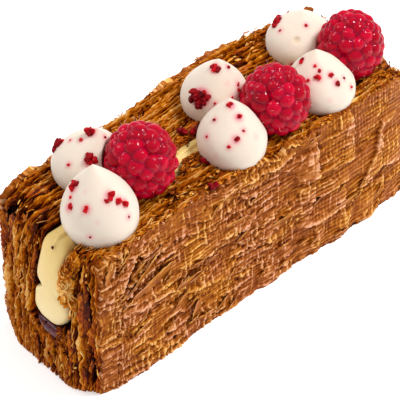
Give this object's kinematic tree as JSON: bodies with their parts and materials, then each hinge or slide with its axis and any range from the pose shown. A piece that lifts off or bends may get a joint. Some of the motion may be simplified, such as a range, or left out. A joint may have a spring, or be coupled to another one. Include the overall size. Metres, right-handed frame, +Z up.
{
  "type": "mille feuille slice",
  "caption": "Slice of puff pastry with upright leaves, slit and filled with pastry cream and jam, topped with piped cream kisses, raspberries and freeze-dried fruit crumbs.",
  "frame": {"origin": "middle of the slice's foot, on the surface it stands on", "axes": "+X along the slice, away from the cut end that shows its filling best; +Y towards its back long face; +Z up"},
  "size_m": [0.1208, 0.0452, 0.0663],
  "materials": {
    "pastry": "baked puff pastry, golden brown, with a fine mesh imprint on the long faces",
    "jam": "dark berry jam, wet gloss",
    "custard": "pale yellow pastry cream, smooth, soft gloss",
    "raspberry": "fresh raspberry, moist drupelets",
    "cream": "piped white cream, smooth, with dark red freeze-dried crumbs"
  },
  "bodies": {
    "root": {"pastry": "pastry", "jam": "jam", "custard": "custard", "raspberry_1": "raspberry", "raspberry_2": "raspberry", "raspberry_3": "raspberry", "kiss_1_front": "cream", "kiss_1_back": "cream", "kiss_2_front": "cream", "kiss_2_back": "cream", "kiss_3_front": "cream", "kiss_3_back": "cream"}
  },
  "joints": []
}
